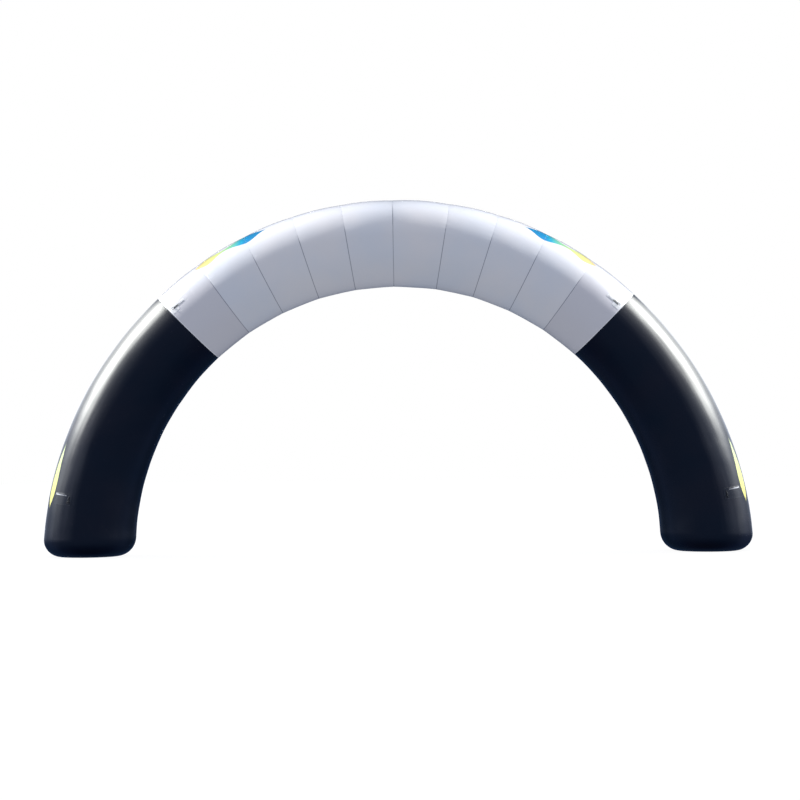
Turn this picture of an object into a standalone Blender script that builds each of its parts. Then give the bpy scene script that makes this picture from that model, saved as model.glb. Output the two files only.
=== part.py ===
# Inflatable event arch: a half-round air tube with ten white gore panels and two black legs.
# Metres, +Z up. The origin is on the ground, midway between the feet; X runs along the span.

import math

import bmesh
import bpy
from mathutils import Matrix, Vector

# Driving dimensions
SPAN = 10.0  # outside width, foot to foot
RISE = 5.0  # outside height
SEAM_GAP = 0.0003  # between sewn pieces

# The tube. Each radius is a share of the span: one row for each angle from the crown.
TUBE_ROWS = (
    {"angle": 0.0, "line_radius": 0.4125, "tube_radius": 0.0611},
    {"angle": 22.5, "line_radius": 0.4139, "tube_radius": 0.0606},
    {"angle": 45.0, "line_radius": 0.4171, "tube_radius": 0.0596},
    {"angle": 67.5, "line_radius": 0.4248, "tube_radius": 0.0611},
    {"angle": 90.0, "line_radius": 0.4356, "tube_radius": 0.0644},
)
ROW_STEP = 22.5
TUBE_SIDES = 36

# The white section's seams, in degrees from the crown, negative to the left
COLOUR_SEAM = 44.96
SIDE_SEAMS = (9.35, 18.0, 26.92, 35.91)
CROWN_SEAM = -0.43

# A gore swells between its seams and is drawn in at them.
GORE_CROWN = 0.003
SEAM_ROWS = (
    {"from_seam": 0.0, "drawn_in": 0.006},
    {"from_seam": 0.012, "drawn_in": 0.0025},
    {"from_seam": 0.040, "drawn_in": 0.0},
)
GORE_SHARES = (0.3, 0.5, 0.7)

# The feet: a rounded edge round a flat base
LEG_STEPS = 13
FOOT_EDGE_OUTER = 0.24
FOOT_EDGE_INNER = 0.27
FOOT_HEIGHTS = (0.19, 0.13, 0.08, 0.042, 0.016, 0.003, 0.0)

# Tie-downs. down: angle from the crown; around: angle from the tube's outer line.
# Patch rows run down the tube from the strap's eye: the distance, and the edges left and right.
WEBBING_WIDTH = 0.025
WEBBING_THICK = 0.0018
PATCH_THICK = 0.0015
EYE_RADIUS = 0.0036
EYE_STEPS = 9
EYE_NECK = 2.2  # how far before the bar the two layers part, in eye radii
EYE_TURN = (-129.6, 144.0)  # the eye's first and last angle round the bar
STRAP_STEP = 0.03
BAR_CLEARANCE = 0.0008
RING_WIRE = 0.003
RING_WIRE_SIDES = 6
RING_HALF_WIDTH = 0.016
RING_REACH = 0.036
RING_BULGE = 1.15  # the bow's width over the bar's
RING_TILT = 25.0
RING_ARC_STEPS = 10
TIE_DOWNS = (
    {
        "name": "upper", "down": 43.95, "around": 62.8, "strap": 0.165,
        "patch": (
            (-0.190, -0.020, 0.020), (-0.125, -0.022, 0.022), (-0.062, -0.024, 0.024),
            (-0.054, -0.070, 0.070), (-0.020, -0.074, 0.074), (0.016, -0.074, 0.074),
            (0.064, -0.070, 0.070),
        ),
        "cloth": "white_cloth", "webbing": "dark_webbing",
    },
    {
        "name": "lower", "down": 83.48, "around": 65.0, "strap": 0.070,
        "patch": (
            (-0.106, -0.268, 0.044), (-0.098, -0.276, 0.052), (-0.050, -0.276, 0.052),
            (0.000, -0.276, 0.052), (0.050, -0.276, 0.052), (0.058, -0.268, 0.044),
        ),
        "cloth": "black_cloth", "webbing": "dark_webbing",
    },
)
PATCH_CELL = 0.026  # small enough that its flat faces clear the round cloth
TAPE_WIDTH = 0.018
TAPE_ENDS = ((-0.086, -0.262), (-0.080, -0.044))
TAPE_STEPS = 8
CROWN_TAB = {"down": 40.4, "length": 0.034, "width": 0.024, "thick": 0.004}
SMOOTH_ANGLE = 30.0

MATERIALS = {
    "white_cloth": {"colour": (0.72, 0.74, 0.80, 1.0), "roughness": 0.45, "metallic": 0.0},
    "black_cloth": {"colour": (0.010, 0.014, 0.026, 1.0), "roughness": 0.30, "metallic": 0.0},
    "dark_webbing": {"colour": (0.035, 0.037, 0.042, 1.0), "roughness": 0.70, "metallic": 0.0},
    "pale_webbing": {"colour": (0.45, 0.46, 0.50, 1.0), "roughness": 0.70, "metallic": 0.0},
    "ring_steel": {"colour": (0.30, 0.30, 0.31, 1.0), "roughness": 0.35, "metallic": 1.0},
}


def clear_scene():
    for old in list(bpy.data.objects):
        bpy.data.objects.remove(old, do_unlink=True)


def make_materials():
    made = {}
    for name, finish in MATERIALS.items():
        material = bpy.data.materials.new(name)
        material.use_nodes = True
        shader = material.node_tree.nodes["Principled BSDF"]
        shader.inputs["Base Color"].default_value = finish["colour"]
        shader.inputs["Roughness"].default_value = finish["roughness"]
        shader.inputs["Metallic"].default_value = finish["metallic"]
        made[name] = material
    return made


def finish_object(bm, name, material, collection):
    # A named object with its faces turned outwards and its round faces shaded smooth.
    bmesh.ops.recalc_face_normals(bm, faces=bm.faces)
    mesh = bpy.data.meshes.new(name)
    bm.to_mesh(mesh)
    bm.free()
    mesh.shade_smooth()
    mesh.set_sharp_from_angle(angle=math.radians(SMOOTH_ANGLE))
    mesh.materials.append(material)
    made = bpy.data.objects.new(name, mesh)
    collection.objects.link(made)
    return made


def through_rows(angle, column):
    # A smooth curve through the rows of the tube's table, level at the crown.
    values = [row[column] * SPAN for row in TUBE_ROWS]
    values = [values[1]] + values + [2.0 * values[-1] - values[-2]]
    place = min(angle / ROW_STEP, len(TUBE_ROWS) - 1.0)
    row = min(int(place), len(TUBE_ROWS) - 2)
    t = place - row
    before, start, end, after = values[row : row + 4]
    return start + 0.5 * t * (
        end - before
        + t * (2.0 * before - 5.0 * start + 4.0 * end - after + t * (3.0 * (start - end) + after - before))
    )


def tube_at(angle):
    # The centre line's radius and the tube's radius at an angle from the crown.
    return through_rows(abs(angle), "line_radius"), through_rows(abs(angle), "tube_radius")


def arch_centre():
    line, tube = tube_at(0.0)
    return RISE - line - tube


def cloth_point(angle, around, lift=0.0):
    # A point of the tube's surface, lift outside it. around is 0 on the outer line and 90 at the front.
    line, tube = tube_at(angle)
    turn, side = math.radians(angle), math.radians(around)
    reach = line + (tube + lift) * math.cos(side)
    return Vector(
        (reach * math.sin(turn), -(tube + lift) * math.sin(side), arch_centre() + reach * math.cos(turn))
    )


def tube_ring(angle, lift):
    return [cloth_point(angle, 360.0 * side / TUBE_SIDES, lift) for side in range(TUBE_SIDES)]


def skin(rings):
    # The side faces through rings of equal point counts, and the rings' points.
    bm = bmesh.new()
    rows = [[bm.verts.new(point) for point in ring] for ring in rings]
    count = len(rows[0])
    for here, there in zip(rows, rows[1:]):
        for i in range(count):
            j = (i + 1) % count
            bm.faces.new((here[i], here[j], there[j], there[i]))
    return bm, rows


def loft(rings):
    # A closed solid through rings, with one flat face at each end.
    bm, rows = skin(rings)
    bm.faces.new(rows[0])
    bm.faces.new(rows[-1])
    return bm


def sheet_loft(rings):
    # The same for a curved sheet, whose ends are a row of quads from its under side to its upper one.
    bm, rows = skin(rings)
    count = len(rows[0])
    for row in (rows[0], rows[-1]):
        for i in range(count // 2 - 1):
            bm.faces.new((row[i], row[i + 1], row[count - 2 - i], row[count - 1 - i]))
    return bm


def seam_angles():
    right = list(SIDE_SEAMS) + [COLOUR_SEAM]
    return [-angle for angle in reversed(right)] + [CROWN_SEAM] + right


def gore_stations(left_seam, right_seam):
    # (angle, lift) of each ring of a gore: drawn in at both seams and swollen between.
    degree = math.degrees(1.0 / sum(tube_at(0.5 * (left_seam + right_seam))))
    start = left_seam + 0.5 * SEAM_GAP * degree
    end = right_seam - 0.5 * SEAM_GAP * degree
    first = [(start + row["from_seam"] * degree, -row["drawn_in"]) for row in SEAM_ROWS]
    middle = [
        (start + share * (end - start), GORE_CROWN * math.sin(math.pi * share)) for share in GORE_SHARES
    ]
    last = [(end - row["from_seam"] * degree, -row["drawn_in"]) for row in reversed(SEAM_ROWS)]
    return first + middle + last


def leg_stations():
    # The same for a leg, from the colour seam down to the level of the tube's widest point.
    degree = math.degrees(1.0 / sum(tube_at(COLOUR_SEAM)))
    start = COLOUR_SEAM + 0.5 * SEAM_GAP * degree
    first = [(start + row["from_seam"] * degree, -row["drawn_in"]) for row in SEAM_ROWS]
    last = first[-1][0]
    return first + [(last + (90.0 - last) * step / LEG_STEPS, 0.0) for step in range(1, LEG_STEPS + 1)]


def stations_at(angle):
    # The rings of the piece under a tie-down, on the right half.
    return leg_stations() if angle > COLOUR_SEAM else gore_stations(SIDE_SEAMS[-1], COLOUR_SEAM)


def cloth_lift(angle):
    # How far the cloth stands off the plain tube at an angle from the crown.
    stations = stations_at(angle)
    for (here, low), (there, high) in zip(stations, stations[1:]):
        if here <= angle <= there:
            return low + (high - low) * (angle - here) / (there - here)
    return 0.0


def gore(left_seam, right_seam):
    return loft([tube_ring(angle, lift) for angle, lift in gore_stations(left_seam, right_seam)])


def foot_ring(height, side):
    # A level section of the foot: its edge rounds in towards the flat base.
    line, tube = tube_at(90.0)
    points = []
    for i in range(TUBE_SIDES):
        around = math.radians(360.0 * i / TUBE_SIDES)
        outer_share = 0.5 + 0.5 * math.cos(around)
        edge = FOOT_EDGE_INNER + (FOOT_EDGE_OUTER - FOOT_EDGE_INNER) * outer_share
        below = max(edge - height, 0.0)
        radius = tube - edge + math.sqrt(edge**2 - below**2)
        reach = line + radius * math.cos(around)
        points.append(Vector((side * reach, -radius * math.sin(around), height)))
    return points


def leg(side):
    # side is -1 for the left leg and 1 for the right one.
    rings = [tube_ring(side * angle, lift) for angle, lift in leg_stations()]
    rings += [foot_ring(height, side) for height in FOOT_HEIGHTS]
    return loft(rings)


def tie_reach(tie):
    # How far a tie-down is from the arch's axis.
    line, tube = tube_at(tie["down"])
    return line + tube * math.cos(math.radians(tie["around"]))


def tie_place(tie, along, across, lift):
    # From a tie-down's own plane to the tube: along runs down the tube, across runs round it.
    angle = tie["down"] + math.degrees(along / tie_reach(tie))
    around = tie["around"] + math.degrees(across / tube_at(tie["down"])[1])
    return cloth_point(angle, around, cloth_lift(angle) + SEAM_GAP + lift)


def corner_sign(side, face):
    return Matrix.Diagonal((side, face, 1.0, 1.0))


def patch_rows(tie):
    # The outline's rows, with one more wherever the cloth under the patch bends.
    rows = list(tie["patch"])
    for angle, _ in stations_at(tie["down"]):
        along = math.radians(angle - tie["down"]) * tie_reach(tie)
        for here, there in zip(tie["patch"], tie["patch"][1:]):
            share = (along - here[0]) / (there[0] - here[0])
            if 0.0 < share < 1.0:
                rows.append(tuple(a + (b - a) * share for a, b in zip(here, there)))
    return sorted(rows)


def patch(tie):
    # A sheet that follows the tube, one ring for each row of its outline.
    rings = []
    cells = math.ceil(max(high - low for _, low, high in tie["patch"]) / PATCH_CELL)
    for along, low, high in patch_rows(tie):
        across = [low + (high - low) * i / cells for i in range(cells + 1)]
        under = [tie_place(tie, along, w, 0.0) for w in across]
        over = [tie_place(tie, along, w, PATCH_THICK) for w in reversed(across)]
        rings.append(under + over)
    return sheet_loft(rings)


def bar_lift():
    # The ring's bar stands this far off the patch's underside.
    return PATCH_THICK + SEAM_GAP + WEBBING_THICK + EYE_RADIUS + BAR_CLEARANCE


def strap_path(tie):
    # The folded webbing's middle line as (along, lift): down the patch, round the ring's bar and back.
    bar = bar_lift()
    turn = EYE_RADIUS + 0.5 * WEBBING_THICK
    low = PATCH_THICK + SEAM_GAP + 0.5 * WEBBING_THICK
    high = low + WEBBING_THICK + SEAM_GAP
    flat = tie["strap"]
    steps = math.ceil(flat / STRAP_STEP)
    shares = [i / steps for i in range(steps)]
    neck = -EYE_NECK * turn
    path = [(-flat + (flat + neck) * share, low) for share in shares] + [(neck, low)]
    first, last = (math.radians(angle) for angle in EYE_TURN)
    for i in range(EYE_STEPS):
        angle = first + (last - first) * i / (EYE_STEPS - 1)
        path.append((turn * math.cos(angle), bar + turn * math.sin(angle)))
    path += [(neck, high)] + [(-flat + (flat + neck) * share, high) for share in reversed(shares)]
    return path


def strap(tie):
    # Webbing of one width swept along its folded path.
    path = [Vector(point) for point in strap_path(tie)]
    rings = []
    for i, point in enumerate(path):
        before = (point - path[i - 1]).normalized() if i > 0 else Vector((0.0, 0.0))
        after = (path[i + 1] - point).normalized() if i + 1 < len(path) else Vector((0.0, 0.0))
        heading = (before + after).normalized()
        out = Vector((-heading.y, heading.x)) * 0.5 * WEBBING_THICK
        half = 0.5 * WEBBING_WIDTH
        rings.append(
            [
                tie_place(tie, (point + sign * out).x, across, (point + sign * out).y)
                for sign, across in ((-1, -half), (-1, half), (1, half), (1, -half))
            ]
        )
    return loft(rings)


def ring_path():
    # A D: the bar lies across the strap, and the bow reaches past its end.
    points = [(0.0, -RING_HALF_WIDTH), (0.0, 0.0), (0.0, RING_HALF_WIDTH)]
    for i in range(1, RING_ARC_STEPS):
        angle = math.pi * i / RING_ARC_STEPS
        points.append((RING_REACH * math.sin(angle), RING_HALF_WIDTH * RING_BULGE * math.cos(angle)))
    return points


def ring(tie):
    # Round wire bent to a D, which the stiff webbing holds a little off the cloth.
    tilt = math.radians(RING_TILT)
    path = [Vector((along, across, 0.0)) for along, across in ring_path()]
    count, sides = len(path), RING_WIRE_SIDES
    bm = bmesh.new()
    rows = []
    for i, point in enumerate(path):
        before, after = path[i - 1], path[(i + 1) % count]
        heading = ((point - before).normalized() + (after - point).normalized()).normalized()
        outward = heading.cross(Vector((0.0, 0.0, 1.0)))
        row = []
        for k in range(sides):
            angle = 2.0 * math.pi * k / sides
            spot = point + RING_WIRE * (outward * math.cos(angle) + Vector((0.0, 0.0, math.sin(angle))))
            along = spot.x * math.cos(tilt) - spot.z * math.sin(tilt)
            lift = bar_lift() + spot.x * math.sin(tilt) + spot.z * math.cos(tilt)
            row.append(bm.verts.new(tie_place(tie, along, spot.y, lift)))
        rows.append(row)
    for i in range(count):
        here, there = rows[i], rows[(i + 1) % count]
        for k in range(sides):
            j = (k + 1) % sides
            bm.faces.new((here[k], here[j], there[j], there[k]))
    return bm


def tape(tie):
    # Flat webbing across the top of the lower patch.
    (along_a, across_a), (along_b, across_b) = TAPE_ENDS
    rings = []
    for i in range(TAPE_STEPS + 1):
        share = i / TAPE_STEPS
        along = along_a + (along_b - along_a) * share
        across = across_a + (across_b - across_a) * share
        low = PATCH_THICK + SEAM_GAP
        high = low + WEBBING_THICK
        half = 0.5 * TAPE_WIDTH
        rings.append(
            [
                tie_place(tie, along + edge, across, lift)
                for edge, lift in ((-half, low), (half, low), (half, high), (-half, high))
            ]
        )
    return loft(rings)


def crown_tab():
    # A short tab on the middle of one of the tube's flat sides, which lies under the round surface.
    half_side = math.pi / TUBE_SIDES
    tie = {"down": CROWN_TAB["down"], "around": math.degrees(half_side)}
    half_length, half_width = 0.5 * CROWN_TAB["length"], 0.5 * CROWN_TAB["width"]
    low = tube_at(CROWN_TAB["down"])[1] * (math.cos(half_side) - 1.0)
    high = low + CROWN_TAB["thick"]
    rings = []
    for along in (-half_length, 0.0, half_length):
        rings.append(
            [
                tie_place(tie, along, across, lift)
                for across, lift in (
                    (-half_width, low), (half_width, low), (half_width, high), (-half_width, high),
                )
            ]
        )
    return loft(rings)


def build_tube(collection, materials):
    seams = seam_angles()
    for i, (left_seam, right_seam) in enumerate(zip(seams, seams[1:])):
        bm = gore(left_seam, right_seam)
        finish_object(bm, f"gore_{i + 1:02d}", materials["white_cloth"], collection)
    for side, word in ((-1, "left"), (1, "right")):
        finish_object(leg(side), f"leg_{word}", materials["black_cloth"], collection)


def build_tie_downs(collection, materials):
    for tie in TIE_DOWNS:
        pieces = [
            ("patch", patch, tie["cloth"]), ("strap", strap, tie["webbing"]), ("ring", ring, "ring_steel"),
        ]
        if tie["name"] == "lower":
            pieces.append(("tape", tape, "pale_webbing"))
        for side, side_word in ((-1, "left"), (1, "right")):
            for face, face_word in ((1, "front"), (-1, "back")):
                for kind, make, finish in pieces:
                    bm = make(tie)
                    bmesh.ops.transform(bm, matrix=corner_sign(side, face), verts=bm.verts)
                    name = f"{tie['name']}_{kind}_{face_word}_{side_word}"
                    finish_object(bm, name, materials[finish], collection)


def build_crown_tabs(collection, materials):
    for side, word in ((-1, "left"), (1, "right")):
        bm = crown_tab()
        bmesh.ops.transform(bm, matrix=corner_sign(side, -1), verts=bm.verts)
        finish_object(bm, f"crown_tab_{word}", materials["dark_webbing"], collection)


def main():
    clear_scene()
    collection = bpy.data.collections.new("inflatable_arch")
    bpy.context.scene.collection.children.link(collection)
    materials = make_materials()
    build_tube(collection, materials)
    build_tie_downs(collection, materials)
    build_crown_tabs(collection, materials)


main()
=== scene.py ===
import math

import bpy
from mathutils import Matrix, Vector
from mathutils.bvhtree import BVHTree


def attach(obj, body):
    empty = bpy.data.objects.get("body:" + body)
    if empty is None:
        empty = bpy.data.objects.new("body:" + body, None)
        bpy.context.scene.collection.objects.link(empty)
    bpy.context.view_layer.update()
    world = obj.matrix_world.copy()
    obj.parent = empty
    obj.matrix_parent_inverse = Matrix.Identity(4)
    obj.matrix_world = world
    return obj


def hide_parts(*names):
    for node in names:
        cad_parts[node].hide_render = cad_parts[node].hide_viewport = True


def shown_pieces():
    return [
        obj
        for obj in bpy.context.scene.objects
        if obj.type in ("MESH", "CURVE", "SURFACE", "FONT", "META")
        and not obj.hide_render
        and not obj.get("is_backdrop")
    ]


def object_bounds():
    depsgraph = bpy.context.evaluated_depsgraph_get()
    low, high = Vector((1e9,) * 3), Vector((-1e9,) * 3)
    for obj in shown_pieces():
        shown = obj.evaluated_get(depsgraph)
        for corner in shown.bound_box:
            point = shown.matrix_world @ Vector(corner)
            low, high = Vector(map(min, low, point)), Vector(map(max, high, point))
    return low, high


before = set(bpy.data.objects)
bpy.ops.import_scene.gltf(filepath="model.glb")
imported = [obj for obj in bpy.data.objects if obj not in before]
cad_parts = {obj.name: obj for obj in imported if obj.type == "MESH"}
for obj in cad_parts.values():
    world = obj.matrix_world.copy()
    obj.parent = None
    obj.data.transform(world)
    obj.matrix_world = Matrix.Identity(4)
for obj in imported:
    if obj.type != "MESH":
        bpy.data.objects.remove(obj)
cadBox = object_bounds()
print("frame loaded:", len(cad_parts), "nodes")

# The tube of the arch, in metres and degrees. Angles run from the crown, minus to the left.
archForm = {
    "rise": cadBox[1].z,
    "rowStep": 22.5,  # the radii below are at the crown and every 22.5 degrees down to the foot
    "lineRadius": (4.125, 4.139, 4.171, 4.248, 4.356),
    "tubeRadius": (0.611, 0.606, 0.596, 0.611, 0.644),
    "seams": (-44.96, -35.91, -26.92, -18.0, -9.35, -0.43, 9.35, 18.0, 26.92, 35.91, 44.96),
    "seamGap": 0.0003,
    "meanLine": 4.2,  # turns an angle along the arch into metres of cloth
    "meanTube": 0.61,  # and an angle round the tube
}


def throughRows(angle, rows):
    # a smooth curve through the rows, level at the crown
    values = [rows[1], *rows, 2.0 * rows[-1] - rows[-2]]
    place = min(angle / archForm["rowStep"], len(rows) - 1.0)
    row = min(int(place), len(rows) - 2)
    t = place - row
    before, start, end, after = values[row:row + 4]
    bend = 2.0 * before - 5.0 * start + 4.0 * end - after
    twist = 3.0 * (start - end) + after - before
    return start + 0.5 * t * (end - before + t * (bend + t * twist))


def tubeAt(angle):
    return throughRows(abs(angle), archForm["lineRadius"]), throughRows(abs(angle), archForm["tubeRadius"])


archCentre = archForm["rise"] - sum(tubeAt(0.0))  # height of the half round's centre


def outwardAt(angle, around):
    # around is 0 on the outer line and 90 at the front
    turn, side = math.radians(angle), math.radians(around)
    return Vector((math.cos(side) * math.sin(turn), -math.sin(side), math.cos(side) * math.cos(turn)))


def clothPoint(angle, around, lift=0.0):
    line, tube = tubeAt(angle)
    turn = math.radians(angle)
    middle = Vector((line * math.sin(turn), 0.0, archCentre + line * math.cos(turn)))
    return middle + (tube + lift) * outwardAt(angle, around)


def linear(hexColour):
    # an sRGB hex colour as linear RGBA
    parts = [int(hexColour[i:i + 2], 16) / 255.0 for i in (1, 3, 5)]
    return (*(c / 12.92 if c <= 0.04045 else ((c + 0.055) / 1.055) ** 2.4 for c in parts), 1.0)


def addNode(tree, kind, inputs=None, **settings):
    # one node with its settings; an input takes a value or a socket to link from
    node = tree.nodes.new(kind)
    for name, value in settings.items():
        setattr(node, name, value)
    for key, value in (inputs or {}).items():
        if isinstance(value, bpy.types.NodeSocket):
            tree.links.new(value, node.inputs[key])
        else:
            node.inputs[key].default_value = value
    return node


def sums(tree, operation, first, second=0.0, third=0.0):
    # a Math node's result
    inputs = {0: first, 1: second, 2: third}
    return addNode(tree, "ShaderNodeMath", inputs, operation=operation).outputs[0]


def fade(tree, value, low, high, toLow=0.0, toHigh=1.0):
    # a smooth step of the value from low to high
    inputs = {"Value": value, "From Min": low, "From Max": high, "To Min": toLow, "To Max": toHigh}
    return addNode(tree, "ShaderNodeMapRange", inputs, interpolation_type="SMOOTHSTEP").outputs["Result"]


def blendColours(tree, share, first, second, how="MIX"):
    inputs = {"Factor": share, "A": first, "B": second}
    node = addNode(tree, "ShaderNodeMix", None, data_type="RGBA", blend_type=how)
    for key, value in inputs.items():
        socket = next(s for s in node.inputs if s.name == key and s.enabled)
        if isinstance(value, bpy.types.NodeSocket):
            tree.links.new(value, socket)
        else:
            socket.default_value = value
    return next(s for s in node.outputs if s.enabled)


def colourRamp(tree, share, stops):
    node = addNode(tree, "ShaderNodeValToRGB", {"Fac": share})
    ramp = node.color_ramp
    while len(ramp.elements) < len(stops):
        ramp.elements.new(0.5)
    for element, (place, colour) in zip(ramp.elements, stops):
        element.position = place
        element.color = colour if len(colour) == 4 else (*colour, 1.0)
    return node.outputs["Color"]


def startMaterial(name, finish):
    material = bpy.data.materials.new(name)
    material.use_nodes = True
    tree = material.node_tree
    shader = tree.nodes["Principled BSDF"]
    shader.inputs["Base Color"].default_value = linear(finish["colour"])
    for socket in ("Roughness", "Metallic", "IOR", "Specular IOR Level", "Coat Weight",
                   "Coat Roughness", "Sheen Weight", "Sheen Roughness"):
        if socket in finish:
            shader.inputs[socket].default_value = finish[socket]
    return material, tree, shader


def archPlace(tree):
    # where a spot lies on the cloth: its share of the way from crown to foot, and from outer line to inner
    place = addNode(tree, "ShaderNodeUVMap", uv_map="arch").outputs["UV"]
    split = addNode(tree, "ShaderNodeSeparateXYZ", {"Vector": place})
    return sums(tree, "ABSOLUTE", split.outputs["X"]), sums(tree, "ABSOLUTE", split.outputs["Y"])


# Ribbons printed on the cloth, in degrees: from, to, soft and wave from the crown, the rest round the tube.
printedRibbons = {
    "edge": 0.8,  # blur of their edges
    "sway": 1.5,
    "plump": 1.6,  # how soon they reach their full width
    "slant": 0.05,  # of their colours
    "white": {
        "from": 22.2, "to": 37.6, "soft": 1.2,
        "centre": 27.0, "half": 3.0, "swing": 9.8, "wave": 8.8,
        "middle": 7.0,  # half width of the ribbon on the outer line itself
        "stops": ((0.0, "#0E7EAE"), (0.10, "#0086BC"), (0.18, "#16A0BE"), (0.26, "#5CBCB2"),
                  (0.36, "#88CA98"), (0.48, "#AED68C"), (0.60, "#D2DE84"), (0.80, "#E2DC84"),
                  (0.92, "#E4CE84"), (1.0, "#E0AE92")),
    },
    "black": {
        "from": 73.2, "to": 85.4, "soft": 1.6,
        "centre": 28.0, "half": 2.0, "swing": 6.2, "wave": 16.0,
        "stops": ((0.0, "#C6D2A0"), (0.3, "#D0DA8E"), (0.6, "#DCDA80"), (1.0, "#DCD678")),
    },
}


def ribbonPrint(tree, kind):
    # wavy ribbons run along both sides of the tube's outer line, and a third may run on the line
    # itself: their mask and colour
    spec, edge = printedRibbons[kind], printedRibbons["edge"]
    along, round_ = archPlace(tree)
    down = sums(tree, "MULTIPLY", along, 90.0)
    side = sums(tree, "MULTIPLY", round_, 180.0)
    past = sums(tree, "SUBTRACT", down, spec["from"])
    turn = sums(tree, "MULTIPLY", past, math.tau / spec["wave"])
    lobe = sums(tree, "MULTIPLY_ADD", sums(tree, "COSINE", turn), -0.5 * spec["swing"],
                spec["half"] + 0.5 * spec["swing"] + edge)
    taper = sums(tree, "SINE", sums(tree, "MULTIPLY", past, math.pi / (spec["to"] - spec["from"])))
    full = sums(tree, "SMOOTH_MIN", sums(tree, "MULTIPLY", taper, printedRibbons["plump"]), 1.0, 0.5)
    half = sums(tree, "MULTIPLY_ADD", lobe, full, -edge)
    off = sums(tree, "ABSOLUTE", sums(tree, "SUBTRACT", side, spec["centre"]))
    mask = fade(tree, sums(tree, "SUBTRACT", half, off), -edge, edge)
    if "middle" in spec:
        swayed = sums(tree, "MULTIPLY_ADD", sums(tree, "SINE", turn), printedRibbons["sway"], side)
        within = sums(tree, "SUBTRACT", sums(tree, "MULTIPLY", taper, spec["middle"]), swayed)
        mask = sums(tree, "MAXIMUM", mask, fade(tree, within, -edge, edge))
    starts = fade(tree, down, spec["from"], spec["from"] + spec["soft"])
    ends = fade(tree, down, spec["to"] - spec["soft"], spec["to"], 1.0, 0.0)
    mask = sums(tree, "MULTIPLY", mask, sums(tree, "MULTIPLY", starts, ends))
    slanted = sums(tree, "MULTIPLY_ADD", side, -printedRibbons["slant"], down)
    share = fade(tree, slanted, spec["from"], spec["to"])
    return mask, colourRamp(tree, share, [(at, linear(colour)) for at, colour in spec["stops"]])


clothFinish = {
    "white": {"colour": "#E4E6EA", "mottle": ("#E0E3EA", "#E9E7E9"), "Roughness": 0.24, "IOR": 1.5,
              "Coat Weight": 0.8, "Coat Roughness": 0.06},
    "black": {"colour": "#07090E", "mottle": ("#05090E", "#100D10"), "Roughness": 0.15, "IOR": 1.5},
    "uneven": 0.03,  # how far the roughness strays
    "threadPitch": 0.0016,  # 0.5 mm threads, drawn three times as coarse so that they show close up
    "threadDepth": 0.00002,
}
# What differs along the arch (1 at the foot) and round the tube (0 outside, 1 inside), in shares of the way
whiteShadeAndLacquer = {
    # the outer gores' painted shade: its grey, where it starts along the arch, and its fade round the tube
    "shadeGrey": "#DBD9DD", "shadeStart": archForm["seams"][-2] / 90.0, "shadeSideFade": (0.27, 0.41),
    "thickCoat": (0.15, 0.42), "thickIor": 0.18, "thinCoat": (0.55, 0.85), "thinLeft": 0.1,
}
# Painted shade along each seam: the dark line's half width and the hem's in metres, and how dark the painted
# shade is round the tube
seamShade = {
    "half": 0.009, "colour": "#3C4054",
    "side": (0.33, 0.42), "sideShare": (0.05, 0.62),
    "crown": ((0.18, 0.0), (0.25, 0.4), (0.31, 0.72), (0.36, 0.70), (0.42, 0.48)),  # of the crown's seam
    "crownReach": (0.02, 0.03),
    "hem": (0.011, 0.013), "hemColour": "#FCFCFD", "hemReach": (0.004, 0.003),
}


def weaveBump(tree, shader, perUnit):
    # a plain weave under the coating, from the piece's own UV map; perUnit is metres for one unit of it
    place = addNode(tree, "ShaderNodeUVMap", uv_map="arch").outputs["UV"]
    metres = addNode(tree, "ShaderNodeVectorMath", {0: place, 1: perUnit}, operation="MULTIPLY").outputs[0]
    split = addNode(tree, "ShaderNodeSeparateXYZ", {"Vector": metres})
    perThread = math.pi / clothFinish["threadPitch"]
    threads = [
        sums(tree, "SINE", sums(tree, "MULTIPLY", split.outputs[axis], perThread)) for axis in ("X", "Y")
    ]
    height = sums(tree, "MULTIPLY", *threads)
    bump = addNode(tree, "ShaderNodeBump", {"Distance": clothFinish["threadDepth"], "Height": height})
    tree.links.new(bump.outputs["Normal"], shader.inputs["Normal"])


def greyShadeAndLacquer(tree, shader, base):
    # painted shade: the two gores beside the legs are painted a little grey on their shaded side only, not
    # where the sun falls
    along, side = archPlace(tree)
    line = whiteShadeAndLacquer["shadeStart"]
    paintedGreyShade = fade(tree, along, line - 0.0005, line + 0.0005)
    paintedGreyShade = sums(tree, "MULTIPLY", paintedGreyShade, fade(tree, side, *whiteShadeAndLacquer["shadeSideFade"]))
    base = blendColours(tree, paintedGreyShade, base, linear(whiteShadeAndLacquer["shadeGrey"]))
    # the clear lacquer is thickest on the outside by the legs and has worn thin on the inside
    thicker = fade(tree, along, *whiteShadeAndLacquer["thickCoat"])
    weight = clothFinish["white"]["Coat Weight"]
    lacquer = sums(tree, "MULTIPLY_ADD", thicker, 1.0 - weight, weight)
    worn = fade(tree, side, *whiteShadeAndLacquer["thinCoat"], 1.0, whiteShadeAndLacquer["thinLeft"])
    ior = sums(tree, "MULTIPLY_ADD", thicker, whiteShadeAndLacquer["thickIor"], clothFinish["white"]["IOR"])
    tree.links.new(sums(tree, "MULTIPLY", lacquer, worn), shader.inputs["Coat Weight"])
    tree.links.new(ior, shader.inputs["Coat IOR"])
    return base


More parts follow.
